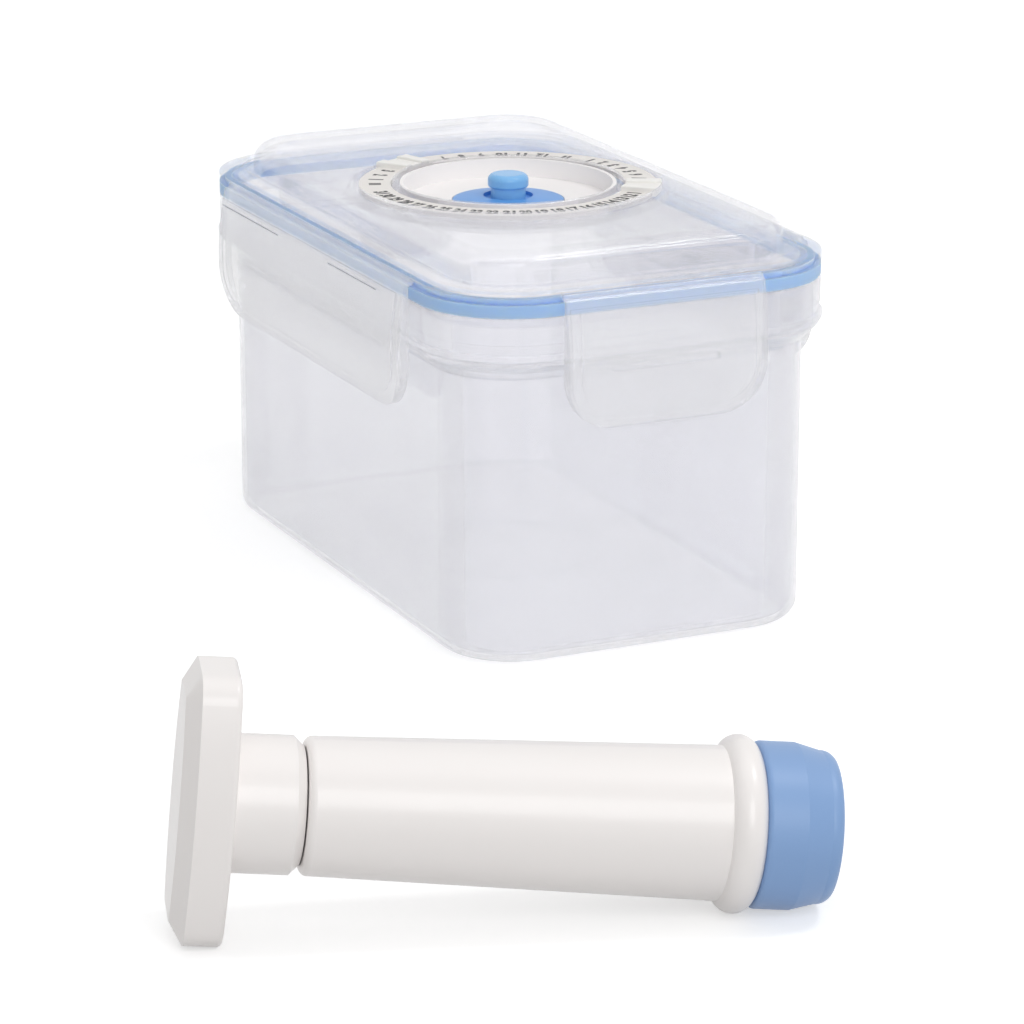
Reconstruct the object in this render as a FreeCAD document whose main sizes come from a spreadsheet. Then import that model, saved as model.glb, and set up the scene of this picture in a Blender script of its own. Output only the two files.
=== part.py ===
import FreeCAD, Part
import math
import os
import re
import Sketcher

doc = FreeCAD.newDocument("vacuum_seal_canister")
sheet = doc.addObject("Spreadsheet::Sheet", "Sizes")

# Driving sizes in millimetres and degrees; "out" and "inset" are measured from the lid's edge
SIZES = {
    # Lid rim, its channel and plug wall, and the ridge round the foot of its raised top
    "lid_width": 130.0,
    "lid_length": 214.4,
    "lid_corner": 29.5,
    "lid_edge_round": 0.6,
    "rim_plate": 2.0,
    "skirt_inset": 2.0,
    "channel_depth": 1.6,
    "plug_outer_inset": 4.5,
    "plug_wall": 2.0,
    "plug_depth": 3.5,
    "ridge_inset": 7.4,
    "ridge_width": 1.2,
    "ridge_rise": 0.7,
    # Raised top of the lid and the hollow under it
    "plateau_side_inset": 10.5,
    "plateau_end_inset": 12.2,
    "plateau_corner": 20.0,
    "plateau_rise": 9.1,
    "plateau_round": 5.5,
    "plateau_wall": 2.2,
    # Date recess and valve bowl in the lid
    "recess_margin": 6.0,
    "recess_depth": 3.1,
    "date_ledge": 14.3,
    "bowl_depth": 4.8,
    "bowl_rim_wall": 2.4,
    "bowl_rim_rise": 2.8,
    "bowl_rim_round": 0.9,
    "lid_wall": 2.0,
    "stem_play": 0.4,
    "vent_hole": 1.2,
    "vent_circle": 11.0,
    "vent_count": 6.0,
    # Sealing ring between the lid's rim and the tub
    "seat_gap": 0.3,
    "gasket_band": 3.8,
    "gasket_outer_inset": 0.2,
    "gasket_fit": 0.15,
    # Tub
    "tub_height": 107.5,
    "tub_inset": 5.7,
    "tub_wall": 1.8,
    "tub_floor": 2.0,
    "tub_foot_round": 5.0,
    "tub_floor_round": 3.4,
    "flare_drop": 19.5,
    "flare_ledge": 0.1,
    "flare_shift": 1.0,
    "mouth_ledge": 0.2,
    "collar_inset": 0.6,
    "collar_wall": 2.1,
    "band_inset": 0.2,
    "band_height": 7.9,
    "lock_bead_out": 0.5,
    "lock_bead_drop": 10.7,
    "lock_bead_height": 2.4,
    "lock_bead_round": 0.7,
    "floor_ring_inner": 29.0,
    "floor_ring_width": 1.2,
    "floor_ring_height": 0.4,
    # Latches, hung from a round bead in a groove of the lid's edge
    "short_latch_gap": 3.0,
    "long_latch_gap": 5.7,
    "hinge_out": 0.1,
    "hinge_drop": 1.9,
    "hinge_bead": 0.95,
    "hinge_gap": 0.3,
    "hinge_end_gap": 0.3,
    "neck_upper_out_share": 0.975,
    "neck_upper_drop_share": 0.21,
    "neck_lower_out_share": 0.26,
    "neck_lower_drop_share": 0.96,
    "shoulder_out": 2.3,
    "shoulder_drop": 0.7,
    "armpit_drop": 1.5,
    "latch_in": 0.95,
    "latch_middle_out": 4.8,
    "latch_middle_drop": 19.8,
    "latch_length": 40.0,
    "latch_bottom_out": 3.5,
    "latch_wall": 1.7,
    "latch_corner": 15.0,
    "tray_drop": 3.7,
    "tray_top_out": 1.6,
    "panel_margin": 4.0,
    "panel_in": 2.6,
    "panel_drop": 3.9,
    "panel_top_out": 3.45,
    "panel_rise": 0.4,
    "panel_bottom_out": 4.45,
    "rib_out": 4.0,
    "rib_gap": 2.2,
    "rib_height": 2.0,
    # Date ring, and the lining of the bowl
    "ring_edge_gap": 1.7,
    "ring_fit": 0.3,
    "ring_thickness": 1.4,
    "lining_gap": 0.2,
    "lining_wall": 1.2,
    "lining_drop": 1.0,
    "lining_floor": 0.8,
    "lining_floor_gap": 0.4,
    # Two pointers that slide round the dial
    "pointer_gap": 0.4,
    "pointer_foot_gap": 0.35,
    "pointer_length": 11.1,
    "pointer_lift": 0.3,
    "pointer_base": 0.8,
    "pointer_ridge": 0.8,
    "pointer_round": 0.4,
    "pointer_angle": 18.0,
    "pointer_slot_angle": 8.0,
    "month_angle": 117.0,
    "day_angle": -35.0,
    # Valve
    "disc_radius": 17.4,
    "disc_edge": 0.9,
    "disc_shoulder_radius": 13.0,
    "disc_shoulder": 1.7,
    "disc_height": 2.3,
    "disc_dish": 7.8,
    "disc_dish_rise": 1.1,
    "disc_hole_play": 0.5,
    "stem_radius": 2.6,
    "stem_groove_depth": 0.6,
    "stem_tip": 0.5,
    "button_neck": 5.5,
    "button_neck_height": 3.9,
    "button_lip": 0.9,
    "button_head_height": 4.2,
    "button_top_round": 2.0,
    "button_lip_round": 0.7,
    "clip_drop": 2.7,
    "clip_thickness": 0.8,
    "clip_fit": 0.1,
    "clip_outer": 5.5,
    # Handle of the hand pump, along the pump's own axis from the outer face of the grip
    "handle_half_height": 35.4,
    "handle_half_depth": 19.1,
    "handle_end_half": 12.0,
    "handle_thickness": 13.5,
    "handle_corner": 8.0,
    "handle_bevel_along": 3.6,
    "handle_bevel_across": 6.0,
    "handle_back_round": 1.5,
    "neck_length": 17.6,
    "neck_bevel": 2.4,
    "neck_wall": 2.85,
    "neck_base": 2.5,
    "boss_radius": 8.0,
    "boss_setback": 3.1,
    # Piston rod, piston, sealing ring and screw
    "rod_radius": 5.0,
    "rod_fit": 0.1,
    "rod_play": 0.08,
    "rod_start": 6.0,
    "stroke_gap": 1.1,
    "piston_length": 9.2,
    "piston_play": 0.4,
    "seal_setback": 3.0,
    "seal_width": 3.0,
    "seal_depth": 2.0,
    "seal_play": 0.07,
    "screw_shank": 1.65,
    "screw_fit": 0.1,
    "screw_play": 0.25,
    "screw_depth": 9.0,
    "screw_tip_gap": 1.0,
    "screw_head": 3.6,
    "screw_head_height": 2.0,
    "screw_slot_half": 0.5,
    "screw_slot_depth": 1.0,
    # Barrel and rod guide
    "barrel_gap": 0.4,
    "barrel_length": 105.8,
    "barrel_small_radius": 17.45,
    "barrel_wide_radius": 19.75,
    "barrel_start_round": 2.0,
    "barrel_bore": 15.0,
    "end_wall": 5.0,
    "bead_width": 8.7,
    "bead_rise": 3.0,
    "socket_depth": 6.5,
    "socket_step": 1.9,
    "guide_seat": 9.0,
    "guide_fit": 0.1,
    "guide_setback": 0.9,
    "guide_flange": 12.0,
    "guide_flange_plate": 1.5,
    # Inlet plate, its flap and the soft nose
    "plate_fit": 0.15,
    "plate_thickness": 2.0,
    "plate_hole": 1.5,
    "plate_circle": 6.5,
    "plate_count": 6.0,
    "flap_radius": 10.0,
    "flap_thickness": 1.2,
    "flap_stem": 1.6,
    "flap_fit": 0.15,
    "flap_bulb": 2.4,
    "flap_bulb_length": 1.7,
    "nose_radius": 21.3,
    "nose_root_round": 1.4,
    "nose_spigot_wall": 2.15,
    "nose_floor": 3.0,
    "nose_straight": 10.1,
    "nose_taper": 6.7,
    "nose_taper_wall": 1.7,
    "nose_lip": 3.0,
    "nose_lip_wall": 0.5,
    "nose_round_along": 2.2,
    "nose_round_wall": 1.2,
    "nose_mouth_play": 0.4,
    # Where the pump lies on the table: middle of its axis and its heading
    "pump_along": 82.9,
    "pump_middle_x": -129.0,
    "pump_middle_y": -274.6,
    "pump_heading": -17.0,
    # Length by which every cut runs past the piece
    "cut_overrun": 2.0,
}

# Sizes and levels that follow from the driving ones
FOLLOWS = {
    # Plan of the lid's raised top, date recess, bowl and sealing ring
    "half_width": "lid_width / 2",
    "half_length": "lid_length / 2",
    "plateau_half_width": "half_width - plateau_side_inset",
    "plateau_half_length": "half_length - plateau_end_inset",
    "hollow_round": "plateau_round - plateau_wall",
    "recess_radius": "plateau_half_width - recess_margin",
    "recess_outside": "recess_radius + lid_wall",
    "bowl_radius": "recess_radius - date_ledge",
    "bowl_outside": "bowl_radius + lid_wall",
    "bowl_rim_outer": "bowl_radius + bowl_rim_wall",
    "plug_inner_inset": "plug_outer_inset + plug_wall",
    "ridge_inner_inset": "ridge_inset + ridge_width",
    "gasket_step_inset": "skirt_inset + gasket_fit",
    "gasket_inner_inset": "plug_outer_inset - gasket_fit",
    # Levels of the lid above the table
    "plug_bottom": "tub_height - plug_depth",
    "gasket_bottom": "tub_height + seat_gap",
    "skirt_bottom": "gasket_bottom + gasket_band",
    "channel_roof": "skirt_bottom + channel_depth",
    "lid_top": "channel_roof + rim_plate",
    "ridge_top": "lid_top + ridge_rise",
    "plateau_top": "lid_top + plateau_rise",
    "plateau_under": "plateau_top - plateau_wall",
    "recess_floor": "plateau_top - recess_depth",
    "recess_under": "recess_floor - lid_wall",
    "bowl_floor": "recess_floor - bowl_depth",
    "bowl_under": "bowl_floor - lid_wall",
    "bowl_rim_top": "recess_floor + bowl_rim_rise",
    # Tub
    "hollow_inset": "tub_inset + tub_wall",
    "mouth_inset": "collar_inset + collar_wall",
    "flare_rise": "tub_inset - collar_inset - flare_ledge",
    "flare_bottom": "tub_height - flare_drop",
    "mouth_level": "flare_bottom + flare_rise + flare_shift",
    "mouth_slope": "hollow_inset - mouth_inset - mouth_ledge",
    "band_bottom": "tub_height - band_height",
    "lock_bead_top": "tub_height - lock_bead_drop",
    "lock_bead_bottom": "lock_bead_top - lock_bead_height",
    "floor_ring_outer": "floor_ring_inner + floor_ring_width",
    # Latches
    "short_latch_width": "lid_width - 2 * lid_corner - 2 * short_latch_gap",
    "long_latch_width": "lid_length - 2 * lid_corner - 2 * long_latch_gap",
    "hinge_height": "lid_top - hinge_drop",
    "hinge_groove": "hinge_bead + hinge_gap",
    "neck_upper_out": "hinge_out + hinge_bead * neck_upper_out_share",
    "neck_upper_height": "hinge_height - hinge_bead * neck_upper_drop_share",
    "neck_lower_out": "hinge_out + hinge_bead * neck_lower_out_share",
    "neck_lower_height": "hinge_height - hinge_bead * neck_lower_drop_share",
    "shoulder_height": "hinge_height - shoulder_drop",
    "armpit_height": "hinge_height - armpit_drop",
    "latch_middle_height": "hinge_height - latch_middle_drop",
    "latch_bottom": "hinge_height - latch_length",
    "tray_top": "hinge_height - tray_drop",
    "tray_bottom": "latch_bottom + latch_wall",
    "panel_top": "hinge_height - panel_drop",
    "panel_middle_out": "latch_middle_out + panel_rise",
    "panel_bottom": "latch_bottom + panel_margin",
    "panel_corner": "latch_corner - panel_margin",
    "rib_top": "lock_bead_bottom - rib_gap",
    "rib_bottom": "rib_top - rib_height",
    # Date ring, bowl lining and pointers
    "ring_outer": "recess_radius - ring_edge_gap",
    "ring_inner": "bowl_rim_outer + ring_fit",
    "ring_top": "recess_floor + ring_thickness",
    "lining_outer": "bowl_radius - lining_gap",
    "lining_inner": "lining_outer - lining_wall",
    "lining_top": "bowl_rim_top - lining_drop",
    "lining_floor_top": "bowl_floor + lining_floor",
    "lining_floor_hole": "disc_radius + lining_floor_gap",
    "pointer_outer": "recess_radius - pointer_gap",
    "pointer_inner": "pointer_outer - pointer_length",
    "pointer_foot_inner": "ring_outer + pointer_foot_gap",
    "pointer_foot_bottom": "recess_floor + pointer_lift",
    "pointer_slot_floor": "ring_top + pointer_base",
    "pointer_top": "pointer_slot_floor + pointer_ridge",
    # Valve
    "disc_edge_top": "bowl_floor + disc_edge",
    "disc_shoulder_top": "bowl_floor + disc_shoulder",
    "disc_top": "bowl_floor + disc_height",
    "disc_dish_floor": "bowl_floor + disc_dish_rise",
    "disc_hole": "stem_radius + disc_hole_play",
    "stem_hole": "stem_radius + stem_play",
    "stem_groove_radius": "stem_radius - stem_groove_depth",
    "stem_groove_top": "bowl_under - clip_drop",
    "stem_groove_bottom": "stem_groove_top - clip_thickness",
    "stem_bottom": "stem_groove_bottom - stem_tip",
    "button_head": "button_neck + button_lip",
    "button_head_bottom": "disc_dish_floor + button_neck_height",
    "button_top": "button_head_bottom + button_head_height",
    "clip_inner": "stem_groove_radius + clip_fit",
    # Pump, along its axis and out from it
    "neck_radius": "barrel_small_radius",
    "neck_end": "handle_thickness + neck_length",
    "neck_hollow_start": "handle_thickness + neck_base",
    "neck_hollow_radius": "neck_radius - neck_wall",
    "boss_end": "neck_end - boss_setback",
    "barrel_start": "neck_end + barrel_gap",
    "bore_start": "barrel_start + end_wall",
    "bead_start": "barrel_start + barrel_length",
    "bead_middle": "bead_start + bead_width / 2",
    "bead_end": "bead_start + bead_width",
    "bead_radius": "barrel_wide_radius + bead_rise",
    "bore_end": "bead_end - socket_depth",
    "socket_radius": "barrel_bore + socket_step",
    "guide_start": "barrel_start + guide_setback",
    "guide_end": "bore_start + guide_flange_plate",
    "guide_outer": "guide_seat - guide_fit",
    "guide_bore": "rod_radius + rod_play",
    "plate_end": "bore_end + plate_thickness",
    "plate_radius": "socket_radius - plate_fit",
    "plate_centre_hole": "flap_stem + flap_fit",
    "flap_start": "bore_end - flap_thickness",
    "flap_bulb_end": "plate_end + flap_bulb_length",
    "nose_spigot_inner": "plate_radius - nose_spigot_wall",
    "nose_straight_end": "bead_end + nose_straight",
    "nose_taper_end": "nose_straight_end + nose_taper",
    "nose_end": "nose_taper_end + nose_lip",
    "nose_mouth": "disc_radius + nose_mouth_play",
    "nose_mouth_start": "bead_end + nose_floor",
    "nose_taper_radius": "nose_mouth + nose_taper_wall",
    "nose_lip_radius": "nose_mouth + nose_lip_wall",
    "nose_round_end": "nose_taper_end + nose_round_along",
    "nose_round_radius": "nose_mouth + nose_round_wall",
    "screw_head_end": "flap_start - stroke_gap",
    "screw_slot_floor": "screw_head_end - screw_slot_depth",
    "piston_end": "screw_head_end - screw_head_height",
    "piston_radius": "barrel_bore - piston_play",
    "piston_hole": "screw_shank + screw_play",
    "seal_end": "piston_end - seal_setback",
    "seal_start": "seal_end - seal_width",
    "seal_inner": "piston_radius - seal_depth",
    "seal_outer": "barrel_bore - seal_play",
    "rod_end": "piston_end - piston_length",
    "rod_socket": "rod_radius + rod_fit",
    "screw_start": "rod_end - screw_depth",
    "rod_thread_start": "screw_start - screw_tip_gap",
    "rod_thread": "screw_shank + screw_fit",
}

for row, (alias, size) in enumerate(SIZES.items(), start=1):
    sheet.set(f"A{row}", alias.replace("_", " "))
    sheet.set(f"B{row}", str(size))
    sheet.setAlias(f"B{row}", alias)
doc.recompute()


def spell_out(word):
    name = word.group(0)
    if name in FOLLOWS:
        return "(" + cell(FOLLOWS[name]) + ")"
    return "Sizes." + name


def cell(text):
    return re.sub(r"[a-z_]+", spell_out, text)


def measure(text):
    return float(sheet.evalExpression(cell(text)))


# Places nearer to each other than this share of the lid's length are the same place
SAME_PLACE_SHARE = 1e-6
same_place = SAME_PLACE_SHARE * measure("lid_length")


def new_body(label):
    body = doc.addObject("PartDesign::Body", label)
    body.Label = label
    return body


def new_sketch(body, role, offset="0"):
    sketch = body.newObject("Sketcher::SketchObject", body.Name + "_sketch")
    plane = next(item for item in body.Origin.OriginFeatures if item.Role == role)
    sketch.AttachmentSupport = [(plane, "")]
    sketch.MapMode = "FlatFace"
    if offset != "0":
        sketch.setExpression("AttachmentOffset.Base.z", cell(offset))
    return sketch


def hold(sketch, kind, places, text):
    index = sketch.addConstraint(Sketcher.Constraint(kind, *places, measure(text)))
    sketch.setExpression(f"Constraints[{index}]", cell(text))


def pin(sketch, shape, end, across, up):
    for kind, axis, text in (("DistanceX", -2, across), ("DistanceY", -1, up)):
        if abs(measure(text)) < same_place:
            sketch.addConstraint(Sketcher.Constraint("PointOnObject", shape, end, axis))
        else:
            hold(sketch, kind, (-1, 1, shape, end), text)


def rounded_rectangle(sketch, half_x, half_y, corner):
    first = sketch.GeometryCount
    radius = measure(corner)
    centres = []
    for turn, (way_x, way_y) in enumerate((("", ""), ("-", ""), ("-", "-"), ("", "-"))):
        across = f"{way_x}(({half_x}) - ({corner}))"
        up = f"{way_y}(({half_y}) - ({corner}))"
        centre = FreeCAD.Vector(measure(across), measure(up), 0)
        circle = Part.Circle(centre, FreeCAD.Vector(0, 0, 1), radius)
        sketch.addGeometry(Part.ArcOfCircle(circle, turn * math.pi / 2, (turn + 1) * math.pi / 2))
        centres.append((across, up))
    for turn in range(4):
        start = sketch.getPoint(first + turn, 2)
        end = sketch.getPoint(first + (turn + 1) % 4, 1)
        sketch.addGeometry(Part.LineSegment(start, end))
    for turn, (across, up) in enumerate(centres):
        side = first + 4 + turn
        sketch.addConstraint(Sketcher.Constraint("Tangent", first + turn, 2, side, 1))
        sketch.addConstraint(Sketcher.Constraint("Tangent", side, 2, first + (turn + 1) % 4, 1))
    for turn, (across, up) in enumerate(centres):
        pin(sketch, first + turn, 3, across, up)
        hold(sketch, "Radius", (first + turn,), corner)


def lid_outline(sketch, inset):
    half_x = f"half_width - ({inset})"
    half_y = f"half_length - ({inset})"
    rounded_rectangle(sketch, half_x, half_y, f"lid_corner - ({inset})")


def circle(sketch, across, up, radius):
    centre = FreeCAD.Vector(measure(across), measure(up), 0)
    shape = sketch.addGeometry(Part.Circle(centre, FreeCAD.Vector(0, 0, 1), measure(radius)))
    pin(sketch, shape, 3, across, up)
    hold(sketch, "Radius", (shape,), radius)


def arc_through(start, middle, end):
    round_line = Part.Arc(start, middle, end).toShape().Curve
    centre = round_line.Center
    turns = [math.atan2(spot.y - centre.y, spot.x - centre.x) for spot in (start, middle, end)]
    forward = (turns[1] - turns[0]) % math.tau < (turns[2] - turns[0]) % math.tau
    first, last = (turns[0], turns[2]) if forward else (turns[2], turns[0])
    flat_circle = Part.Circle(centre, FreeCAD.Vector(0, 0, 1), round_line.Radius)
    return Part.ArcOfCircle(flat_circle, first, last), forward


def outline(sketch, corners):
    spots = [FreeCAD.Vector(measure(corner[0]), measure(corner[1]), 0) for corner in corners]
    pieces = []
    for turn, corner in enumerate(corners):
        start = spots[turn]
        end = spots[(turn + 1) % len(spots)]
        if len(corner) == 2:
            shape = sketch.addGeometry(Part.LineSegment(start, end))
            pieces.append((shape, 1, 2))
            continue
        middle = FreeCAD.Vector(measure(corner[2]), measure(corner[3]), 0)
        arc, forward = arc_through(start, middle, end)
        shape = sketch.addGeometry(arc)
        pieces.append((shape, 1, 2) if forward else (shape, 2, 1))
        knot = sketch.addGeometry(Part.Point(middle), True)
        sketch.addConstraint(Sketcher.Constraint("PointOnObject", knot, 1, shape))
        pin(sketch, knot, 1, corner[2], corner[3])
    for turn, (shape, head, tail) in enumerate(pieces):
        after, after_head, after_tail = pieces[(turn + 1) % len(pieces)]
        sketch.addConstraint(Sketcher.Constraint("Coincident", shape, tail, after, after_head))
    for (shape, head, tail), corner in zip(pieces, corners):
        pin(sketch, shape, head, corner[0], corner[1])


def extrude(body, kind, sketch, length, both_ways=False, other_way=False):
    feature = body.newObject("PartDesign::" + kind, body.Name + "_" + kind.lower())
    feature.Profile = sketch
    feature.setExpression("Length", cell(length))
    feature.SideType = "Symmetric" if both_ways else "One side"
    feature.Reversed = other_way
    sketch.Visibility = False
    doc.recompute()
    return feature


def spin(body, kind, sketch, axis, angle=None):
    feature = body.newObject("PartDesign::" + kind, body.Name + "_" + kind.lower())
    feature.Profile = sketch
    feature.ReferenceAxis = (sketch, [axis])
    feature.Angle = 360
    if angle:
        feature.setExpression("Angle", cell(angle))
        feature.Midplane = True
    sketch.Visibility = False
    doc.recompute()
    return feature


def soften(body, radius, chosen, bevel_across=None):
    base = body.Tip
    kind = "Chamfer" if bevel_across else "Fillet"
    feature = body.newObject("PartDesign::" + kind, body.Name + "_" + kind.lower())
    names = [f"Edge{index}" for index, edge in enumerate(base.Shape.Edges, start=1) if chosen(edge)]
    feature.Base = (base, names)
    if bevel_across:
        feature.ChamferType = "Two distances"
        feature.setExpression("Size", cell(radius))
        feature.setExpression("Size2", cell(bevel_across))
    else:
        feature.setExpression("Radius", cell(radius))
    doc.recompute()
    return feature


def at_level(axis, text):
    level = measure(text)

    def test(edge):
        box = edge.BoundBox
        low = getattr(box, axis + "Min")
        high = getattr(box, axis + "Max")
        return abs(low - level) < same_place and abs(high - level) < same_place

    return test


def on_lid_outline(height, inset):
    level = at_level("Z", height)
    radius = measure(f"lid_corner - ({inset})")
    inner_x = measure("half_width - lid_corner")
    inner_y = measure("half_length - lid_corner")

    def test(edge):
        middle = edge.valueAt((edge.FirstParameter + edge.LastParameter) / 2)
        beyond = math.hypot(max(abs(middle.x) - inner_x, 0), max(abs(middle.y) - inner_y, 0))
        return level(edge) and abs(beyond - radius) < same_place

    return test


def ring_round(along, radius):
    place = measure(along)
    size = measure(radius)

    def test(edge):
        curve = edge.Curve
        if not isinstance(curve, Part.Circle):
            return False
        return abs(curve.Radius - size) < same_place and abs(curve.Center.x - place) < same_place

    return test


def upright_ring(height, radius):
    level = measure(height)
    size = measure(radius)

    def test(edge):
        curve = edge.Curve
        if not isinstance(curve, Part.Circle):
            return False
        return abs(curve.Radius - size) < same_place and abs(curve.Center.z - level) < same_place

    return test


# Tub with a flared collar, a lock bead and a plain upper band
tub = new_body("tub")
bead_sketch = new_sketch(tub, "XY_Plane", "lock_bead_bottom")
lid_outline(bead_sketch, "-lock_bead_out")
extrude(tub, "Pad", bead_sketch, "lock_bead_top - lock_bead_bottom")
bead_low = at_level("Z", "lock_bead_bottom")
bead_high = at_level("Z", "lock_bead_top")
soften(tub, "lock_bead_round", lambda edge: bead_low(edge) or bead_high(edge))
collar_sketch = new_sketch(tub, "XY_Plane", "flare_bottom")
lid_outline(collar_sketch, "collar_inset")
extrude(tub, "Pad", collar_sketch, "tub_height - flare_bottom")
soften(tub, "flare_rise", at_level("Z", "flare_bottom"), "flare_rise")
band_sketch = new_sketch(tub, "XY_Plane", "band_bottom")
lid_outline(band_sketch, "band_inset")
extrude(tub, "Pad", band_sketch, "tub_height - band_bottom")
wall_sketch = new_sketch(tub, "XY_Plane")
lid_outline(wall_sketch, "tub_inset")
extrude(tub, "Pad", wall_sketch, "lock_bead_top")
soften(tub, "tub_foot_round", at_level("Z", "0"))
hollow_sketch = new_sketch(tub, "XY_Plane", "tub_floor")
lid_outline(hollow_sketch, "hollow_inset")
extrude(tub, "Pocket", hollow_sketch, "tub_height - tub_floor + cut_overrun", other_way=True)
soften(tub, "tub_floor_round", at_level("Z", "tub_floor"))
mouth_sketch = new_sketch(tub, "XY_Plane", "mouth_level")
lid_outline(mouth_sketch, "mouth_inset")
extrude(tub, "Pocket", mouth_sketch, "tub_height - mouth_level + cut_overrun", other_way=True)
soften(tub, "mouth_slope", on_lid_outline("mouth_level", "hollow_inset"), "mouth_slope")
floor_ring = new_sketch(tub, "XY_Plane", "tub_floor")
circle(floor_ring, "0", "0", "floor_ring_outer")
circle(floor_ring, "0", "0", "floor_ring_inner")
extrude(tub, "Pad", floor_ring, "floor_ring_height")

# Lid with rim, plug wall, raised top, date recess and valve bowl
lid = new_body("lid")
rim_sketch = new_sketch(lid, "XY_Plane", "skirt_bottom")
lid_outline(rim_sketch, "0")
extrude(lid, "Pad", rim_sketch, "lid_top - skirt_bottom")
soften(lid, "lid_edge_round", at_level("Z", "lid_top"))
plateau_sketch = new_sketch(lid, "XY_Plane", "channel_roof")
rounded_rectangle(plateau_sketch, "plateau_half_width", "plateau_half_length", "plateau_corner")
extrude(lid, "Pad", plateau_sketch, "plateau_top - channel_roof")
soften(lid, "plateau_round", at_level("Z", "plateau_top"))
ridge_sketch = new_sketch(lid, "XY_Plane", "channel_roof")
lid_outline(ridge_sketch, "ridge_inset")
lid_outline(ridge_sketch, "ridge_inner_inset")
extrude(lid, "Pad", ridge_sketch, "ridge_top - channel_roof")
channel_sketch = new_sketch(lid, "XY_Plane", "channel_roof")
lid_outline(channel_sketch, "skirt_inset")
extrude(lid, "Pocket", channel_sketch, "channel_roof - skirt_bottom + cut_overrun")
roof_sketch = new_sketch(lid, "XY_Plane", "plateau_under")
rounded_rectangle(
    roof_sketch,
    "plateau_half_width - plateau_wall",
    "plateau_half_length - plateau_wall",
    "plateau_corner - plateau_wall",
)
extrude(lid, "Pocket", roof_sketch, "plateau_under - skirt_bottom + cut_overrun")
soften(lid, "hollow_round", at_level("Z", "plateau_under"))
plug_sketch = new_sketch(lid, "XY_Plane", "plug_bottom")
lid_outline(plug_sketch, "plug_outer_inset")
lid_outline(plug_sketch, "plug_inner_inset")
extrude(lid, "Pad", plug_sketch, "channel_roof - plug_bottom")
boss_sketch = new_sketch(lid, "XZ_Plane")
outline(
    boss_sketch,
    [
        ("0", "bowl_under"),
        ("bowl_outside", "bowl_under"),
        ("bowl_outside", "recess_under"),
        ("recess_outside", "recess_under"),
        ("recess_outside", "plateau_under"),
        ("0", "plateau_under"),
    ],
)
spin(lid, "Revolution", boss_sketch, "V_Axis")
recess_sketch = new_sketch(lid, "XZ_Plane")
outline(
    recess_sketch,
    [
        ("0", "bowl_floor"),
        ("bowl_radius", "bowl_floor"),
        ("bowl_radius", "bowl_rim_top"),
        ("bowl_rim_outer", "bowl_rim_top"),
        ("bowl_rim_outer", "recess_floor"),
        ("recess_radius", "recess_floor"),
        ("recess_radius", "plateau_top + cut_overrun"),
        ("0", "plateau_top + cut_overrun"),
    ],
)
spin(lid, "Groove", recess_sketch, "V_Axis")
soften(lid, "bowl_rim_round", upright_ring("bowl_rim_top", "bowl_radius"))
soften(lid, "bowl_rim_round", upright_ring("bowl_rim_top", "bowl_rim_outer"))
hole_sketch = new_sketch(lid, "XY_Plane", "bowl_floor + cut_overrun")
circle(hole_sketch, "0", "0", "stem_hole")
extrude(lid, "Pocket", hole_sketch, "bowl_floor - bowl_under + 2 * cut_overrun")
vent_sketch = new_sketch(lid, "XY_Plane", "bowl_floor + cut_overrun")
circle(vent_sketch, "vent_circle", "0", "vent_hole")
vent = extrude(lid, "Pocket", vent_sketch, "bowl_floor - bowl_under + 2 * cut_overrun")
vents = lid.newObject("PartDesign::PolarPattern", "lid_vents")
vents.Originals = [vent]
vents.Axis = (vent_sketch, ["N_Axis"])
vents.Angle = 360
vents.setExpression("Occurrences", cell("vent_count"))
lid.Tip = vents
doc.recompute()
for role, half_span, width in (
    ("YZ_Plane", "half_length", "short_latch_width"),
    ("XZ_Plane", "half_width", "long_latch_width"),
):
    groove_sketch = new_sketch(lid, role)
    for way in ("-", ""):
        circle(groove_sketch, f"{way}({half_span} + hinge_out)", "hinge_height", "hinge_groove")
    extrude(lid, "Pocket", groove_sketch, f"{width} + 2 * hinge_end_gap", both_ways=True)

# Stepped sealing ring seated in the channel under the rim
gasket = new_body("lid_gasket")
gasket_low = new_sketch(gasket, "XY_Plane", "gasket_bottom")
lid_outline(gasket_low, "gasket_outer_inset")
lid_outline(gasket_low, "gasket_inner_inset")
extrude(gasket, "Pad", gasket_low, "skirt_bottom - gasket_bottom")
gasket_high = new_sketch(gasket, "XY_Plane", "gasket_bottom")
lid_outline(gasket_high, "gasket_step_inset")
lid_outline(gasket_high, "gasket_inner_inset")
extrude(gasket, "Pad", gasket_high, "channel_roof - gasket_bottom")


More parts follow.
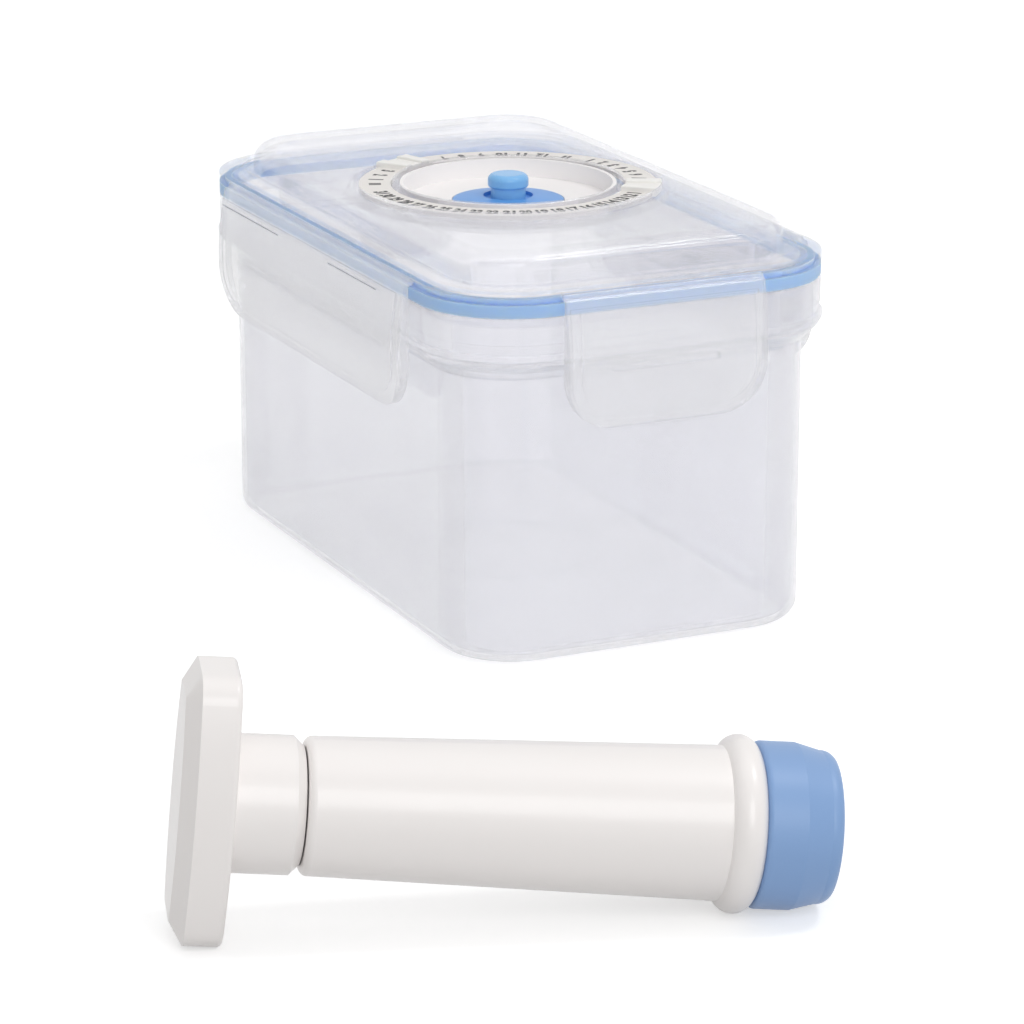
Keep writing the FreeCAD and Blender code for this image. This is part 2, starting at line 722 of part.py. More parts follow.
def latch(label, role, way, half_span, width):
    body = new_body(label)

    def out(text):
        return f"{way}({half_span} + {text})"

    along = "X" if role == "YZ_Plane" else "Y"

    def lower_corners(height, span):
        low = at_level("Z", height)
        ends = (at_level(along, f"({span}) / 2"), at_level(along, f"-({span}) / 2"))
        return lambda edge: low(edge) and any(end(edge) for end in ends)

    panel = new_sketch(body, role)
    outline(
        panel,
        [
            (out("panel_in"), "panel_top"),
            (out("panel_top_out"), "panel_top", out("panel_middle_out"), "latch_middle_height"),
            (out("panel_bottom_out"), "panel_bottom"),
            (out("panel_in"), "panel_bottom"),
        ],
    )
    panel_width = width + " - 2 * panel_margin"
    extrude(body, "Pad", panel, panel_width, both_ways=True)
    soften(body, "panel_corner", lower_corners("panel_bottom", panel_width))
    section = new_sketch(body, role)
    outline(
        section,
        [
            (out("neck_upper_out"), "neck_upper_height"),
            (out("shoulder_out"), "shoulder_height", out("latch_middle_out"), "latch_middle_height"),
            (out("latch_bottom_out"), "latch_bottom"),
            (out("latch_in"), "latch_bottom"),
            (out("latch_in"), "armpit_height"),
            (out("neck_lower_out"), "neck_lower_height"),
        ],
    )
    extrude(body, "Pad", section, width, both_ways=True)
    tray = new_sketch(body, role)
    outline(
        tray,
        [
            (out("latch_in - cut_overrun"), "tray_bottom"),
            (
                out("latch_bottom_out - latch_wall"),
                "tray_bottom",
                out("latch_middle_out - latch_wall"),
                "latch_middle_height",
            ),
            (out("tray_top_out"), "tray_top"),
            (out("latch_in - cut_overrun"), "tray_top"),
        ],
    )
    tray_width = width + " - 2 * latch_wall"
    extrude(body, "Pocket", tray, tray_width, both_ways=True)
    soften(body, "latch_corner - latch_wall", lower_corners("tray_bottom", tray_width))
    soften(body, "latch_corner", lower_corners("latch_bottom", width))
    knuckle = new_sketch(body, role)
    circle(knuckle, out("hinge_out"), "hinge_height", "hinge_bead")
    extrude(body, "Pad", knuckle, width, both_ways=True)
    rib = new_sketch(body, role)
    outline(
        rib,
        [
            (out("latch_in"), "rib_bottom"),
            (out("rib_out"), "rib_bottom"),
            (out("rib_out"), "rib_top"),
            (out("latch_in"), "rib_top"),
        ],
    )
    extrude(body, "Pad", rib, width + " - 2 * latch_corner", both_ways=True)
    return body


# Four latches, one on each side of the lid
front_latch = latch("front_latch", "YZ_Plane", "-", "half_length", "short_latch_width")
back_latch = latch("back_latch", "YZ_Plane", "", "half_length", "short_latch_width")
left_latch = latch("left_latch", "XZ_Plane", "-", "half_width", "long_latch_width")
right_latch = latch("right_latch", "XZ_Plane", "", "half_width", "long_latch_width")


def turned(label, axis, corners, rounds=()):
    body = new_body(label)
    sketch = new_sketch(body, "XZ_Plane")
    outline(sketch, corners)
    spin(body, "Revolution", sketch, axis)
    for radius, chosen in rounds:
        soften(body, radius, chosen)
    return body


# Flat date ring round the rim of the bowl
dial_ring = turned(
    "dial_ring",
    "V_Axis",
    [
        ("ring_inner", "recess_floor"),
        ("ring_outer", "recess_floor"),
        ("ring_outer", "ring_top"),
        ("ring_inner", "ring_top"),
    ],
)

# Lining of the bowl, open in the middle for the valve disc
bowl_lining = turned(
    "bowl_lining",
    "V_Axis",
    [
        ("lining_floor_hole", "bowl_floor"),
        ("lining_outer", "bowl_floor"),
        ("lining_outer", "lining_top"),
        ("lining_inner", "lining_top"),
        ("lining_inner", "lining_floor_top"),
        ("lining_floor_hole", "lining_floor_top"),
    ],
)


def pointer(label, angle):
    body = new_body(label)
    block = new_sketch(body, "XZ_Plane")
    outline(
        block,
        [
            ("pointer_inner", "ring_top"),
            ("pointer_foot_inner", "ring_top"),
            ("pointer_foot_inner", "pointer_foot_bottom"),
            ("pointer_outer", "pointer_foot_bottom"),
            ("pointer_outer", "pointer_top"),
            ("pointer_inner", "pointer_top"),
        ],
    )
    spin(body, "Revolution", block, "V_Axis", "pointer_angle")
    slot = new_sketch(body, "XZ_Plane")
    outline(
        slot,
        [
            ("pointer_inner - cut_overrun", "pointer_slot_floor"),
            ("pointer_outer + cut_overrun", "pointer_slot_floor"),
            ("pointer_outer + cut_overrun", "pointer_top + cut_overrun"),
            ("pointer_inner - cut_overrun", "pointer_top + cut_overrun"),
        ],
    )
    spin(body, "Groove", slot, "V_Axis", "pointer_slot_angle")
    soften(body, "pointer_round", at_level("Z", "pointer_top"))
    body.Placement = FreeCAD.Placement(FreeCAD.Vector(0, 0, 0), FreeCAD.Rotation(FreeCAD.Vector(0, 0, 1), 1))
    body.setExpression("Placement.Rotation.Angle", cell(angle))
    return body


# Two pointers that slide round the date ring
month_pointer = pointer("month_pointer", "month_angle")
day_pointer = pointer("day_pointer", "day_angle")

# Valve: soft flap over the vents, lifting button with its stem, and the clip under the lid
valve_disc = turned(
    "valve_disc",
    "V_Axis",
    [
        ("disc_hole", "bowl_floor"),
        ("disc_radius", "bowl_floor"),
        ("disc_radius", "disc_edge_top", "disc_shoulder_radius", "disc_shoulder_top"),
        ("disc_dish", "disc_top"),
        ("disc_dish", "disc_dish_floor"),
        ("disc_hole", "disc_dish_floor"),
    ],
)
valve_button = turned(
    "valve_button",
    "V_Axis",
    [
        ("0", "stem_bottom"),
        ("stem_radius", "stem_bottom"),
        ("stem_radius", "stem_groove_bottom"),
        ("stem_groove_radius", "stem_groove_bottom"),
        ("stem_groove_radius", "stem_groove_top"),
        ("stem_radius", "stem_groove_top"),
        ("stem_radius", "disc_dish_floor"),
        ("button_neck", "disc_dish_floor"),
        ("button_neck", "button_head_bottom"),
        ("button_head", "button_head_bottom"),
        ("button_head", "button_top"),
        ("0", "button_top"),
    ],
    [
        ("button_top_round", upright_ring("button_top", "button_head")),
        ("button_lip_round", upright_ring("button_head_bottom", "button_head")),
    ],
)
valve_clip = turned(
    "valve_clip",
    "V_Axis",
    [
        ("clip_inner", "stem_groove_bottom"),
        ("clip_outer", "stem_groove_bottom"),
        ("clip_outer", "stem_groove_top"),
        ("clip_inner", "stem_groove_top"),
    ],
)

# Pump handle: bowed grip plate with flat ends, and a hollow neck with a socket for the rod
pump_handle = new_body("pump_handle")
grip_sketch = new_sketch(pump_handle, "YZ_Plane")
outline(
    grip_sketch,
    [
        ("handle_end_half", "-handle_half_height", "handle_half_depth", "0"),
        ("handle_end_half", "handle_half_height"),
        ("-handle_end_half", "handle_half_height", "-handle_half_depth", "0"),
        ("-handle_end_half", "-handle_half_height"),
    ],
)
extrude(pump_handle, "Pad", grip_sketch, "handle_thickness")


def grip_corner(edge):
    box = edge.BoundBox
    return box.XLength > measure("handle_thickness") / 2


soften(pump_handle, "handle_corner", grip_corner)
soften(pump_handle, "handle_bevel_along", at_level("X", "0"), "handle_bevel_across")
soften(pump_handle, "handle_back_round", at_level("X", "handle_thickness"))
neck_sketch = new_sketch(pump_handle, "XZ_Plane")
outline(
    neck_sketch,
    [
        ("handle_thickness", "0"),
        ("boss_end", "0"),
        ("boss_end", "boss_radius"),
        ("neck_hollow_start", "boss_radius"),
        ("neck_hollow_start", "neck_hollow_radius"),
        ("neck_end", "neck_hollow_radius"),
        ("neck_end", "neck_radius - neck_bevel"),
        ("neck_end - neck_bevel", "neck_radius"),
        ("handle_thickness", "neck_radius"),
    ],
)
spin(pump_handle, "Revolution", neck_sketch, "H_Axis")
socket_sketch = new_sketch(pump_handle, "YZ_Plane", "rod_start")
circle(socket_sketch, "0", "0", "rod_socket")
extrude(pump_handle, "Pocket", socket_sketch, "boss_end - rod_start + cut_overrun", other_way=True)

# Moving rod, piston, its sealing ring and the screw that holds them
piston_rod = turned(
    "piston_rod",
    "H_Axis",
    [
        ("rod_start", "0"),
        ("rod_thread_start", "0"),
        ("rod_thread_start", "rod_thread"),
        ("rod_end", "rod_thread"),
        ("rod_end", "rod_radius"),
        ("rod_start", "rod_radius"),
    ],
)
piston_head = turned(
    "piston_head",
    "H_Axis",
    [
        ("rod_end", "piston_hole"),
        ("piston_end", "piston_hole"),
        ("piston_end", "piston_radius"),
        ("seal_end", "piston_radius"),
        ("seal_end", "seal_inner"),
        ("seal_start", "seal_inner"),
        ("seal_start", "piston_radius"),
        ("rod_end", "piston_radius"),
    ],
)
piston_seal = turned(
    "piston_seal",
    "H_Axis",
    [
        ("seal_start", "seal_inner"),
        ("seal_end", "seal_inner"),
        ("seal_end", "seal_outer"),
        ("seal_start", "seal_outer"),
    ],
)
piston_screw = turned(
    "piston_screw",
    "H_Axis",
    [
        ("screw_start", "0"),
        ("screw_head_end", "0"),
        ("screw_head_end", "screw_head"),
        ("piston_end", "screw_head"),
        ("piston_end", "screw_shank"),
        ("screw_start", "screw_shank"),
    ],
)
slot_sketch = new_sketch(piston_screw, "XZ_Plane")
outline(
    slot_sketch,
    [
        ("screw_slot_floor", "-screw_slot_half"),
        ("screw_head_end + cut_overrun", "-screw_slot_half"),
        ("screw_head_end + cut_overrun", "screw_slot_half"),
        ("screw_slot_floor", "screw_slot_half"),
    ],
)
extrude(piston_screw, "Pocket", slot_sketch, "2 * screw_head + cut_overrun", both_ways=True)

# Tapered barrel with its bead, and the rod guide in its end wall
pump_barrel = turned(
    "pump_barrel",
    "H_Axis",
    [
        ("barrel_start", "guide_seat"),
        ("barrel_start", "barrel_small_radius"),
        ("bead_start", "barrel_wide_radius", "bead_middle", "bead_radius"),
        ("bead_end", "barrel_wide_radius"),
        ("bead_end", "socket_radius"),
        ("bore_end", "socket_radius"),
        ("bore_end", "barrel_bore"),
        ("bore_start", "barrel_bore"),
        ("bore_start", "guide_seat"),
    ],
    [("barrel_start_round", ring_round("barrel_start", "barrel_small_radius"))],
)
rod_guide = turned(
    "rod_guide",
    "H_Axis",
    [
        ("guide_start", "guide_bore"),
        ("guide_end", "guide_bore"),
        ("guide_end", "guide_flange"),
        ("bore_start", "guide_flange"),
        ("bore_start", "guide_outer"),
        ("guide_start", "guide_outer"),
    ],
)

# Inlet plate with its ring of holes, the flap over them and the soft nose
inlet_plate = turned(
    "inlet_plate",
    "H_Axis",
    [
        ("bore_end", "plate_centre_hole"),
        ("plate_end", "plate_centre_hole"),
        ("plate_end", "plate_radius"),
        ("bore_end", "plate_radius"),
    ],
)
inlet_sketch = new_sketch(inlet_plate, "YZ_Plane", "plate_end + cut_overrun")
circle(inlet_sketch, "plate_circle", "0", "plate_hole")
inlet = extrude(inlet_plate, "Pocket", inlet_sketch, "plate_end - bore_end + 2 * cut_overrun")
inlets = inlet_plate.newObject("PartDesign::PolarPattern", "inlet_plate_holes")
inlets.Originals = [inlet]
inlets.Axis = (inlet_sketch, ["N_Axis"])
inlets.Angle = 360
inlets.setExpression("Occurrences", cell("plate_count"))
inlet_plate.Tip = inlets
doc.recompute()
inlet_flap = turned(
    "inlet_flap",
    "H_Axis",
    [
        ("flap_start", "0"),
        ("flap_bulb_end", "0"),
        ("flap_bulb_end", "flap_stem"),
        ("plate_end", "flap_bulb"),
        ("plate_end", "flap_stem"),
        ("bore_end", "flap_stem"),
        ("bore_end", "flap_radius"),
        ("flap_start", "flap_stem"),
    ],
)
pump_nose = turned(
    "pump_nose",
    "H_Axis",
    [
        ("plate_end", "nose_spigot_inner"),
        ("nose_mouth_start", "nose_spigot_inner"),
        ("nose_mouth_start", "nose_mouth"),
        ("nose_end", "nose_mouth"),
        ("nose_end", "nose_lip_radius", "nose_round_end", "nose_round_radius"),
        ("nose_taper_end", "nose_taper_radius"),
        ("nose_straight_end", "nose_radius"),
        ("bead_end", "nose_radius"),
        ("bead_end", "plate_radius"),
        ("plate_end", "plate_radius"),
    ],
    [("nose_root_round", ring_round("bead_end", "nose_radius"))],
)

# The pump lies on the lower end of its grip and on its bead, so its axis dips towards the nose
half_chord = measure("bead_end - bead_start") / 2
rise = measure("bead_radius - barrel_wide_radius")
bead_curve = (half_chord ** 2 + rise ** 2) / (2 * rise)
lever = measure("handle_half_height - bead_radius") + bead_curve
reach = measure("bead_middle - handle_thickness")
dip = math.acos(bead_curve / math.hypot(lever, reach)) - math.atan2(reach, lever)
start_height = measure("handle_thickness") * math.sin(dip) + measure("handle_half_height") * math.cos(dip)
heading = math.radians(measure("pump_heading"))
axis = FreeCAD.Vector(math.cos(heading) * math.cos(dip), math.sin(heading) * math.cos(dip), -math.sin(dip))
start = FreeCAD.Vector(
    measure("pump_middle_x") - measure("pump_along") * axis.x,
    measure("pump_middle_y") - measure("pump_along") * axis.y,
    start_height,
)
turn = FreeCAD.Rotation(FreeCAD.Vector(0, 0, 1), math.degrees(heading))
lean = FreeCAD.Rotation(FreeCAD.Vector(0, 1, 0), math.degrees(dip))
for piece in (
    pump_handle, piston_rod, piston_head, piston_seal, piston_screw,
    pump_barrel, rod_guide, inlet_plate, inlet_flap, pump_nose,
):
    piece.Placement = FreeCAD.Placement(start, turn.multiply(lean))

# Every piece is written to its own file once the whole document is sound
doc.recompute()
for item in doc.Objects:
    if "Invalid" in item.State or "Error" in item.State:
        raise RuntimeError(f"{item.Label} did not build: {item.State}")
bodies = [item for item in doc.Objects if item.TypeId == "PartDesign::Body"]
for body in bodies:
    if body.Shape.isNull() or not body.Shape.isValid() or len(body.Shape.Solids) != 1:
        raise RuntimeError(f"{body.Label} is not one sound solid")
os.makedirs("parts", exist_ok=True)
for body in bodies:
    body.Shape.exportStep(f"parts/{body.Label}.step")
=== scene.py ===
import math

import bmesh
import bpy
from mathutils import Matrix, Vector


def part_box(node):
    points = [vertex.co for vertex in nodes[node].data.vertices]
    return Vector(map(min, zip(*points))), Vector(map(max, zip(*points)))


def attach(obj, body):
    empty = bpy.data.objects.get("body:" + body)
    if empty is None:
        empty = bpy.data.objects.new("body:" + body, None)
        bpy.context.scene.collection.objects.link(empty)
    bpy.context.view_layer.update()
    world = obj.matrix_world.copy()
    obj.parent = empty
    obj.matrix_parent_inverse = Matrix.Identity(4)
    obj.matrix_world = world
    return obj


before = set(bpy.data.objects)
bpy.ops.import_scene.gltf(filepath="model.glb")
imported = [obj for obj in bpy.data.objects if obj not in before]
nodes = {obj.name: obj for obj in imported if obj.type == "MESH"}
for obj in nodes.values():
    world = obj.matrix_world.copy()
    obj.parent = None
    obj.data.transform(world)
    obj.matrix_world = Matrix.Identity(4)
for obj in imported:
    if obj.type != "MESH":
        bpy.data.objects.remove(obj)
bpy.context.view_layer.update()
scene = bpy.context.scene
MM = 0.001
WHITE = (1.0, 1.0, 1.0, 1.0)

# Surface texture: slow drifts of colour and polish on every finish, and a grain of its own scale and depth
DRIFT_SCALE = 22
DRIFT_DETAIL = 3
POLISH_SCALE = 60
POLISH_DETAIL = 4
GRAIN_DETAIL = 2
GRAIN_STRENGTH = 0.5
CLEAR_GRAIN = (90, 0.06 * MM)
SILICONE_GRAIN = (900, 0.03 * MM)
WHITE_GRAIN = (700, 0.03 * MM)
PUMP_GRAIN = (500, 0.02 * MM)
RUBBER_GRAIN = (1200, 0.04 * MM)
INNER_GRAIN = (600, 0.03 * MM)
STEEL_GRAIN = (1500, 0.02 * MM)
PRINT_GRAIN = (900, 0.01 * MM)
PLASTIC_IOR = 1.49


# Materials: every finish is a node material with its own colour drift, roughness and surface texture
def linear(red, green, blue):
    def channel(value):
        value /= 255
        return value / 12.92 if value <= 0.04045 else ((value + 0.055) / 1.055) ** 2.4

    return (channel(red), channel(green), channel(blue), 1.0)


def noise_node(tree, coordinates, scale, detail):
    noise = tree.nodes.new("ShaderNodeTexNoise")
    noise.inputs["Scale"].default_value = scale
    noise.inputs["Detail"].default_value = detail
    tree.links.new(coordinates.outputs["Object"], noise.inputs["Vector"])
    return noise


def moulded(name, colour, shade, roughness, grain, sockets=None):
    material = bpy.data.materials.new(name)
    material.use_nodes = True
    tree = material.node_tree
    shader = tree.nodes["Principled BSDF"]
    coordinates = tree.nodes.new("ShaderNodeTexCoord")
    drift = noise_node(tree, coordinates, DRIFT_SCALE, DRIFT_DETAIL)
    tint = tree.nodes.new("ShaderNodeMix")
    tint.data_type = "RGBA"
    tint.inputs["A"].default_value = linear(*colour)
    tint.inputs["B"].default_value = linear(*shade)
    tree.links.new(drift.outputs["Fac"], tint.inputs["Factor"])
    tree.links.new(tint.outputs["Result"], shader.inputs["Base Color"])
    polish = noise_node(tree, coordinates, POLISH_SCALE, POLISH_DETAIL)
    spread = tree.nodes.new("ShaderNodeMapRange")
    smoothest, roughest = roughness
    spread.inputs["To Min"].default_value = smoothest
    spread.inputs["To Max"].default_value = roughest
    tree.links.new(polish.outputs["Fac"], spread.inputs["Value"])
    tree.links.new(spread.outputs["Result"], shader.inputs["Roughness"])
    grain_scale, grain_depth = grain
    texture = noise_node(tree, coordinates, grain_scale, GRAIN_DETAIL)
    bump = tree.nodes.new("ShaderNodeBump")
    bump.inputs["Distance"].default_value = grain_depth
    bump.inputs["Strength"].default_value = GRAIN_STRENGTH
    tree.links.new(texture.outputs["Fac"], bump.inputs["Height"])
    tree.links.new(bump.outputs["Normal"], shader.inputs["Normal"])
    for socket, value in (sockets or {}).items():
        shader.inputs[socket].default_value = value
    return material


def translucent(name, colour, shade, roughness, clearness, body):
    sockets = {
        "Transmission Weight": clearness,
        "Alpha": body,
        "IOR": PLASTIC_IOR,
        "Specular IOR Level": 1.0,
    }
    return moulded(name, colour, shade, roughness, CLEAR_GRAIN, sockets)


tub_plastic = translucent(
    "tub_plastic", (245, 245, 251), (242, 242, 249), roughness=(0.14, 0.22), clearness=0.74, body=0.54
)
lid_plastic = translucent(
    "lid_plastic", (240, 240, 248), (236, 236, 245), roughness=(0.08, 0.14), clearness=0.84, body=0.3
)
latch_plastic = translucent(
    "latch_plastic", (254, 254, 255), (252, 252, 254), roughness=(0.1, 0.18), clearness=0.56, body=0.5
)
# Light scatters inside the soft gasket, so that it stays pale under the clear rim
gasket_silicone = moulded(
    "gasket_silicone",
    (166, 201, 254),
    (174, 207, 255),
    roughness=(0.42, 0.55),
    grain=SILICONE_GRAIN,
    sockets={
        "Subsurface Weight": 1.0,
        "Subsurface Radius": (1.0, 0.8, 0.6),
        "Subsurface Scale": 5 * MM,
    },
)
valve_silicone = moulded(
    "valve_silicone", (84, 150, 220), (94, 158, 226), roughness=(0.3, 0.42), grain=SILICONE_GRAIN
)
button_silicone = moulded(
    "button_silicone", (120, 182, 236), (130, 190, 240), roughness=(0.22, 0.32), grain=SILICONE_GRAIN
)
cream_plastic = moulded(
    "cream_plastic", (236, 232, 228), (230, 226, 222), roughness=(0.35, 0.5), grain=WHITE_GRAIN
)
lining_plastic = moulded(
    "lining_plastic", (250, 247, 246), (246, 243, 242), roughness=(0.3, 0.42), grain=WHITE_GRAIN
)
pointer_plastic = moulded(
    "pointer_plastic", (244, 243, 240), (238, 236, 232), roughness=(0.3, 0.42), grain=WHITE_GRAIN
)
pump_white = moulded(
    "pump_white",
    (246, 242, 240),
    (242, 238, 236),
    roughness=(0.28, 0.38),
    grain=PUMP_GRAIN,
    sockets={"Coat Weight": 0.15, "Coat Roughness": 0.12},
)
pump_blue = moulded(
    "pump_blue",
    (124, 159, 207),
    (132, 166, 212),
    roughness=(0.4, 0.52),
    grain=RUBBER_GRAIN,
    sockets={"Coat Weight": 0.3, "Coat Roughness": 0.35},
)
grey_plastic = moulded(
    "grey_plastic", (190, 192, 196), (182, 184, 189), roughness=(0.4, 0.55), grain=INNER_GRAIN
)
black_rubber = moulded(
    "black_rubber", (46, 47, 50), (54, 55, 58), roughness=(0.55, 0.7), grain=RUBBER_GRAIN
)
steel = moulded(
    "steel",
    (196, 198, 201),
    (182, 184, 188),
    roughness=(0.22, 0.36),
    grain=STEEL_GRAIN,
    sockets={"Metallic": 1.0},
)
line_plastic = moulded(
    "line_plastic", (176, 176, 188), (186, 186, 196), roughness=(0.3, 0.42), grain=PRINT_GRAIN
)
ink = moulded("ink", (28, 28, 30), (38, 38, 40), roughness=(0.5, 0.65), grain=PRINT_GRAIN)

finishes = {
    tub_plastic: ["tub"],
    lid_plastic: ["lid"],
    latch_plastic: ["front_latch", "back_latch", "left_latch", "right_latch"],
    gasket_silicone: ["lid_gasket"],
    valve_silicone: ["valve_disc"],
    button_silicone: ["valve_button"],
    cream_plastic: ["dial_ring"],
    lining_plastic: ["bowl_lining"],
    pointer_plastic: ["month_pointer", "day_pointer", "valve_clip"],
    pump_white: ["pump_handle", "pump_barrel", "piston_rod", "inlet_plate"],
    pump_blue: ["pump_nose"],
    grey_plastic: ["rod_guide", "piston_head"],
    black_rubber: ["piston_seal", "inlet_flap"],
    steel: ["piston_screw"],
}
for material, names in finishes.items():
    for name in names:
        nodes[name].data.materials.clear()
        nodes[name].data.materials.append(material)


# Added pieces: each is drawn in a bmesh and rides on a body
def link(item):
    bpy.context.collection.objects.link(item)


def add_piece(name, work, body, material):
    mesh = bpy.data.meshes.new(name)
    work.to_mesh(mesh)
    work.free()
    mesh.materials.append(material)
    piece = bpy.data.objects.new(name, mesh)
    link(piece)
    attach(piece, body)


def add_bar(work, place, across, along, height):
    size = Matrix.Diagonal((across, along, height, 1.0))
    bmesh.ops.create_cube(work, size=1.0, matrix=place @ size)


# Printed date ring: days and months, digits upright towards the ring's middle, angles in degrees from +X
RING_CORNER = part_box("dial_ring")[1]
PRINT_INSET = 5.0 * MM
PRINT_RADIUS = RING_CORNER.x - PRINT_INSET
DIGIT_HEIGHT = 4.7 * MM
DIGIT_WIDTH = 1.95 * MM
DIGIT_GROWTH = 0.26 * MM
DIGIT_CURVE_STEPS = 3
INK_THICKNESS = 0.01 * MM
WELD_DISTANCE = 0.001 * MM
DAYS = 31
FIRST_DAY = 26.0
DAY_STEP = 7.03
MONTHS = 12
FIRST_MONTH = 149.0
MONTH_STEP = 9.0
MARK_PLACES = (158.0, 38.5)
MARK_SPREAD = 1.1
MARK_WIDTH = 1.1 * MM
MARK_LENGTH = 3.8 * MM


def number_mesh(text):
    curve = bpy.data.curves.new("number", "FONT")
    curve.body = text
    curve.size = DIGIT_HEIGHT
    curve.extrude = INK_THICKNESS
    curve.offset = DIGIT_GROWTH
    curve.resolution_u = DIGIT_CURVE_STEPS
    holder = bpy.data.objects.new("number", curve)
    mesh = bpy.data.meshes.new_from_object(holder)
    bpy.data.objects.remove(holder)
    bpy.data.curves.remove(curve)
    across = [corner.co.x for corner in mesh.vertices]
    up = [corner.co.y for corner in mesh.vertices]
    middle = Vector(((min(across) + max(across)) / 2, (min(up) + max(up)) / 2, 0))
    widen = min(1.0, DIGIT_WIDTH * len(text) / (max(across) - min(across)))
    heighten = DIGIT_HEIGHT / (max(up) - min(up))
    mesh.transform(Matrix.Diagonal((widen, heighten, 1, 1)) @ Matrix.Translation(-middle))
    return mesh


def ring_place(degrees):
    angle = math.radians(degrees)
    spot = Vector((PRINT_RADIUS * math.cos(angle), PRINT_RADIUS * math.sin(angle), RING_CORNER.z))
    return Matrix.Translation(spot) @ Matrix.Rotation(angle + math.pi / 2, 4, "Z")


def printed(name, count, first, step):
    work = bmesh.new()
    for index in range(count):
        mesh = number_mesh(str(index + 1))
        mesh.transform(ring_place(first - step * index))
        work.from_mesh(mesh)
        bpy.data.meshes.remove(mesh)
    bmesh.ops.remove_doubles(work, verts=work.verts, dist=WELD_DISTANCE)
    add_piece(name, work, "lid", ink)


def scale_marks():
    work = bmesh.new()
    for degrees in MARK_PLACES:
        for side in (-MARK_SPREAD, MARK_SPREAD):
            add_bar(work, ring_place(degrees + side), MARK_WIDTH, MARK_LENGTH, 2 * INK_THICKNESS)
    add_piece("scale_marks", work, "lid", ink)


printed("day_numbers", DAYS, FIRST_DAY, DAY_STEP)
printed("month_numbers", MONTHS, FIRST_MONTH, MONTH_STEP)
scale_marks()

# Fine mould lines near the top of the two long latches, in two stretches along Y
LINE_STRETCHES = ((23.0 * MM, 70.0 * MM), (-54.4 * MM, -17.5 * MM))
LINE_INSET = 1.477 * MM
LINE_DROP = 6.6494 * MM
LINE_DEPTH = 0.12 * MM
LINE_HEIGHT = 0.35 * MM


def mould_lines(body, side):
    low_corner, high_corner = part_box(body)
    widest = max(side * low_corner.x, side * high_corner.x)
    across = side * (widest - LINE_INSET)
    height = high_corner.z - LINE_DROP
    work = bmesh.new()
    for start, end in LINE_STRETCHES:
        place = Matrix.Translation((across, (start + end) / 2, height))
        add_bar(work, place, LINE_DEPTH, end - start, LINE_HEIGHT)
    add_piece(body + "_lines", work, body, line_plastic)


mould_lines("left_latch", -1)
mould_lines("right_latch", 1)

# Studio: white surround, pale floor, a wide softbox overhead, a small key on the right and a third in front
WORLD_FILL = 0.5
FLOOR_REACH = 4.0
FLOOR_GREY = 0.7
FLOOR_ROUGHNESS = 0.9
NEAR_FLOOR = 0.5
FAR_FLOOR = 1.5
NEAR_LIFT = 0.52
FAR_LIFT = 1.0


def seen_directly(tree):
    path = tree.nodes.new("ShaderNodeLightPath")
    total = path.outputs["Is Camera Ray"]
    for ray in ("Is Glossy Ray", "Is Transmission Ray"):
        join = tree.nodes.new("ShaderNodeMath")
        join.operation = "MAXIMUM"
        tree.links.new(total, join.inputs[0])
        tree.links.new(path.outputs[ray], join.inputs[1])
        total = join.outputs["Value"]
    return total


def studio_world():
    world = bpy.data.worlds.new("studio")
    scene.world = world
    world.use_nodes = True
    tree = world.node_tree
    fill = tree.nodes["Background"]
    fill.inputs["Color"].default_value = WHITE
    fill.inputs["Strength"].default_value = WORLD_FILL
    white = tree.nodes.new("ShaderNodeBackground")
    white.inputs["Color"].default_value = WHITE
    white.inputs["Strength"].default_value = 1.0
    choose = tree.nodes.new("ShaderNodeMixShader")
    tree.links.new(seen_directly(tree), choose.inputs["Fac"])
    tree.links.new(fill.outputs["Background"], choose.inputs[1])
    tree.links.new(white.outputs["Background"], choose.inputs[2])
    tree.links.new(choose.outputs["Shader"], tree.nodes["World Output"].inputs["Surface"])


# The floor looks whiter further out, so it meets the white surround unseen and keeps the object's shadow
def floor_material():
    material = bpy.data.materials.new("floor")
    material.use_nodes = True
    tree = material.node_tree
    shader = tree.nodes["Principled BSDF"]
    shader.inputs["Base Color"].default_value = (FLOOR_GREY, FLOOR_GREY, FLOOR_GREY, 1.0)
    shader.inputs["Roughness"].default_value = FLOOR_ROUGHNESS
    shader.inputs["Specular IOR Level"].default_value = 0.0
    shader.inputs["Emission Color"].default_value = WHITE
    coordinates = tree.nodes.new("ShaderNodeTexCoord")
    away = tree.nodes.new("ShaderNodeVectorMath")
    away.operation = "LENGTH"
    tree.links.new(coordinates.outputs["Object"], away.inputs[0])
    whiten = tree.nodes.new("ShaderNodeMapRange")
    whiten.inputs["From Min"].default_value = NEAR_FLOOR
    whiten.inputs["From Max"].default_value = FAR_FLOOR
    whiten.inputs["To Min"].default_value = NEAR_LIFT
    whiten.inputs["To Max"].default_value = FAR_LIFT
    tree.links.new(away.outputs["Value"], whiten.inputs["Value"])
    lift = tree.nodes.new("ShaderNodeMath")
    lift.operation = "MULTIPLY"
    tree.links.new(seen_directly(tree), lift.inputs[0])
    tree.links.new(whiten.outputs["Result"], lift.inputs[1])
    tree.links.new(lift.outputs["Value"], shader.inputs["Emission Strength"])
    return material


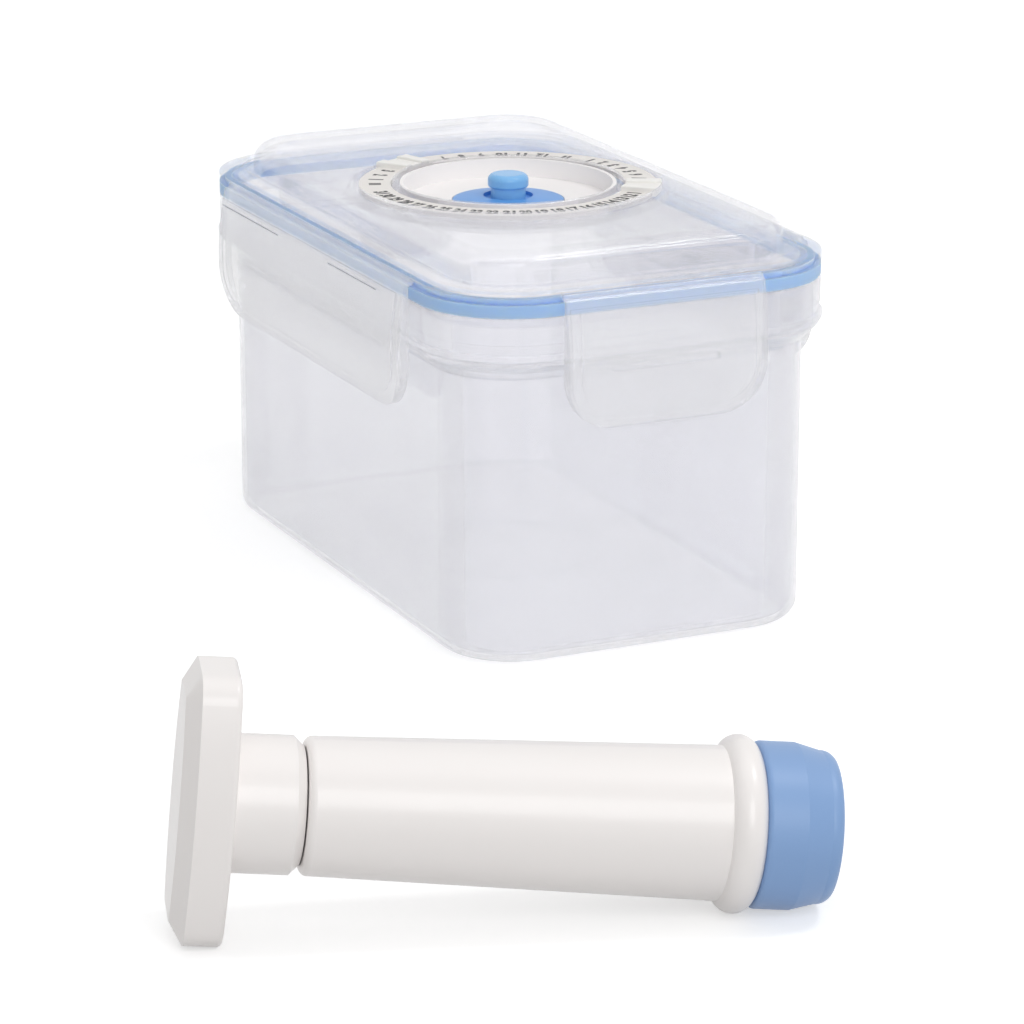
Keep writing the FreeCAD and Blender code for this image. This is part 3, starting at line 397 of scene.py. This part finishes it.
def floor():
    mesh = bpy.data.meshes.new("floor")
    corners = [
        (-FLOOR_REACH, -FLOOR_REACH, 0),
        (FLOOR_REACH, -FLOOR_REACH, 0),
        (FLOOR_REACH, FLOOR_REACH, 0),
        (-FLOOR_REACH, FLOOR_REACH, 0),
    ]
    mesh.from_pydata(corners, [], [(0, 1, 2, 3)])
    mesh.materials.append(floor_material())
    ground = bpy.data.objects.new("floor", mesh)
    link(ground)


def softbox(name, place, target, width, energy):
    lamp = bpy.data.lights.new(name, "AREA")
    lamp.shape = "RECTANGLE"
    lamp.size = width
    lamp.size_y = width
    lamp.energy = energy
    holder = bpy.data.objects.new(name, lamp)
    holder.location = place
    holder.rotation_euler = (Vector(target) - Vector(place)).to_track_quat("-Z", "Y").to_euler()
    link(holder)


studio_world()
floor()
softbox("overhead", place=(-0.1, 0.05, 1.6), target=(-0.06, -0.1, 0.0), width=1.6, energy=4.2)
softbox("key", place=(0.55, -0.5, 1.3), target=(-0.03, -0.1, 0.1), width=0.27, energy=3.8)
softbox("front", place=(-0.35, -1.7, 1.0), target=(-0.06, -0.15, 0.06), width=0.9, energy=8.7)

# Camera at the photograph's viewing angle, its lens in millimetres and its place in metres
SENSOR_WIDTH = 36.0
FOCAL_LENGTH = 146.69
CAMERA_PLACE = (-0.54169, -1.16073, 0.40735)
CAMERA_YAW = math.radians(25.071)
CAMERA_PITCH = math.radians(17.0493)


def camera():
    lens = bpy.data.cameras.new("camera")
    lens.sensor_width = SENSOR_WIDTH
    lens.lens = FOCAL_LENGTH
    eye = bpy.data.objects.new("camera", lens)
    eye.location = CAMERA_PLACE
    level = math.cos(CAMERA_PITCH)
    ahead = Vector((math.sin(CAMERA_YAW) * level, math.cos(CAMERA_YAW) * level, -math.sin(CAMERA_PITCH)))
    eye.rotation_euler = ahead.to_track_quat("-Z", "Y").to_euler()
    link(eye)
    scene.camera = eye


camera()

# Light crosses many clear walls on its way through lid, latch and tub
CLEAR_WALLS = 32
scene.cycles.max_bounces = CLEAR_WALLS
scene.cycles.transmission_bounces = CLEAR_WALLS
scene.cycles.transparent_max_bounces = CLEAR_WALLS
scene.view_settings.view_transform = "Standard"
